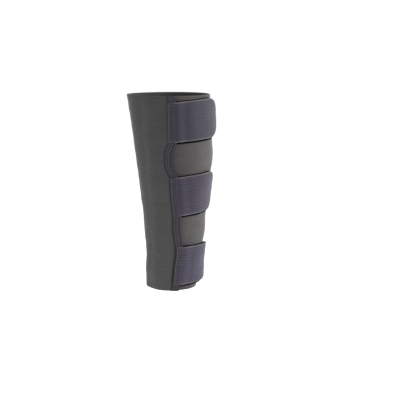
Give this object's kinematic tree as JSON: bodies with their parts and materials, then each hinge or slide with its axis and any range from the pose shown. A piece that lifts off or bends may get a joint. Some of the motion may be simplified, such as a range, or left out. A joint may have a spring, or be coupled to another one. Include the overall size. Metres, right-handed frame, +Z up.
{
  "type": "wrap-around calf support with three straps",
  "caption": "Soft panel wrapped round the shank with a scalloped bound edge, closed at the side by wide elastic straps with rounded hook ends.",
  "frame": {"origin": "centre of the lower hem, on the leg's axis", "axes": "+Z up the leg; -X towards the shin, +X towards the calf's back; the closure faces -Y"},
  "size_m": [0.1376, 0.1282, 0.3],
  "materials": {
    "panel_cloth": "matt ribbed stretch knit on thin foam, dark grey",
    "binding_tape": "matt folded tape, dark purple grey, double stitched",
    "strap_elastic": "wide woven elastic, purple grey with lighter edges",
    "hook_tape": "black hook tape"
  },
  "bodies": {
    "root": {"wrap_panel": "panel_cloth", "edge_binding": "binding_tape", "strap_top": "strap_elastic", "strap_middle": "strap_elastic", "strap_bottom": "strap_elastic", "hook_pad_top": "hook_tape", "hook_pad_middle": "hook_tape", "hook_pad_bottom": "hook_tape"}
  },
  "joints": []
}
